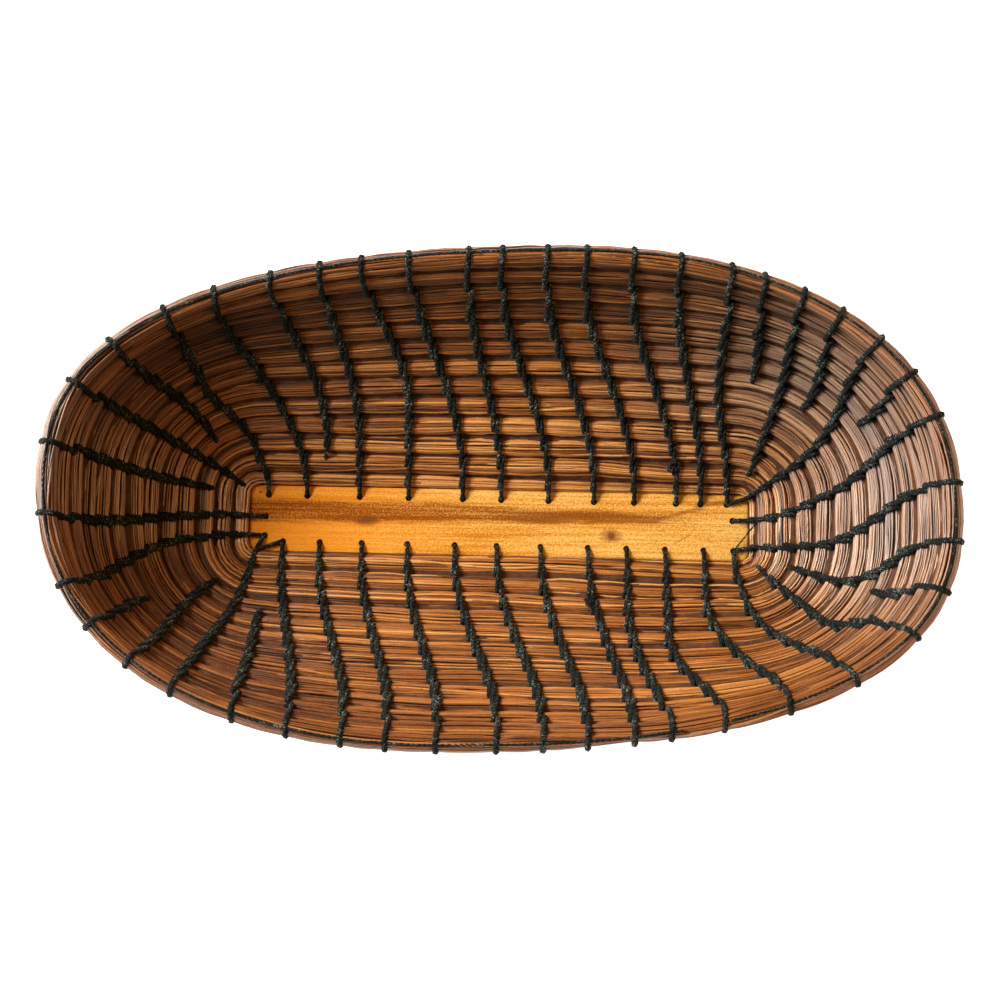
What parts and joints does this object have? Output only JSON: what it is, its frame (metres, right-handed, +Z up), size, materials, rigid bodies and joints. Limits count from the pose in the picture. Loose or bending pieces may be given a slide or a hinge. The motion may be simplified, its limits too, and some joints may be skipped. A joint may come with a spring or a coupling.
{
  "type": "pine needle basket",
  "caption": "Open oval basket of coiled pine needles sewn with dark waxed thread round a drilled wooden slat, for holding fruit, bread or small things on a table.",
  "frame": {"origin": "middle of the slat's underside, on the table", "axes": "+X along the basket's length to the right in the picture, +Y to its far side, +Z up out of the bowl"},
  "size_m": [0.3643, 0.207, 0.0892],
  "materials": {
    "slat_wood": "smooth oiled wood, warm yellow-orange with a darker lengthwise streak",
    "pine_needle": "dry pine needles, satin, tan to reddish brown",
    "waxed_thread": "dark green-black twisted thread, waxed, slightly fuzzy"
  },
  "bodies": {
    "root": {"base_slat": "slat_wood", "needle_coil": "pine_needle", "rim_thread": "waxed_thread", "stitch_line_01": "waxed_thread", "stitch_line_02": "waxed_thread", "stitch_line_03": "waxed_thread", "stitch_line_04": "waxed_thread", "stitch_line_05": "waxed_thread", "stitch_line_06": "waxed_thread", "stitch_line_07": "waxed_thread", "stitch_line_08": "waxed_thread", "stitch_line_09": "waxed_thread", "stitch_line_10": "waxed_thread", "stitch_line_11": "waxed_thread", "stitch_line_12": "waxed_thread", "stitch_line_13": "waxed_thread", "stitch_line_14": "waxed_thread", "stitch_line_15": "waxed_thread", "stitch_line_16": "waxed_thread", "stitch_line_17": "waxed_thread", "stitch_line_18": "waxed_thread", "stitch_line_19": "waxed_thread", "stitch_line_20": "waxed_thread", "stitch_line_21": "waxed_thread", "stitch_line_22": "waxed_thread", "stitch_line_23": "waxed_thread", "stitch_line_24": "waxed_thread", "stitch_line_25": "waxed_thread", "stitch_line_26": "waxed_thread", "stitch_line_27": "waxed_thread", "stitch_line_28": "waxed_thread", "stitch_line_29": "waxed_thread", "stitch_line_30": "waxed_thread", "stitch_line_31": "waxed_thread", "stitch_line_32": "waxed_thread", "stitch_line_33": "waxed_thread", "stitch_line_34": "waxed_thread", "stitch_line_35": "waxed_thread", "stitch_line_36": "waxed_thread", "stitch_line_37": "waxed_thread", "stitch_line_38": "waxed_thread", "stitch_line_39": "waxed_thread", "stitch_line_40": "waxed_thread", "stitch_line_41": "waxed_thread", "stitch_line_42": "waxed_thread", "stitch_line_43": "waxed_thread", "stitch_line_44": "waxed_thread"}
  },
  "joints": []
}
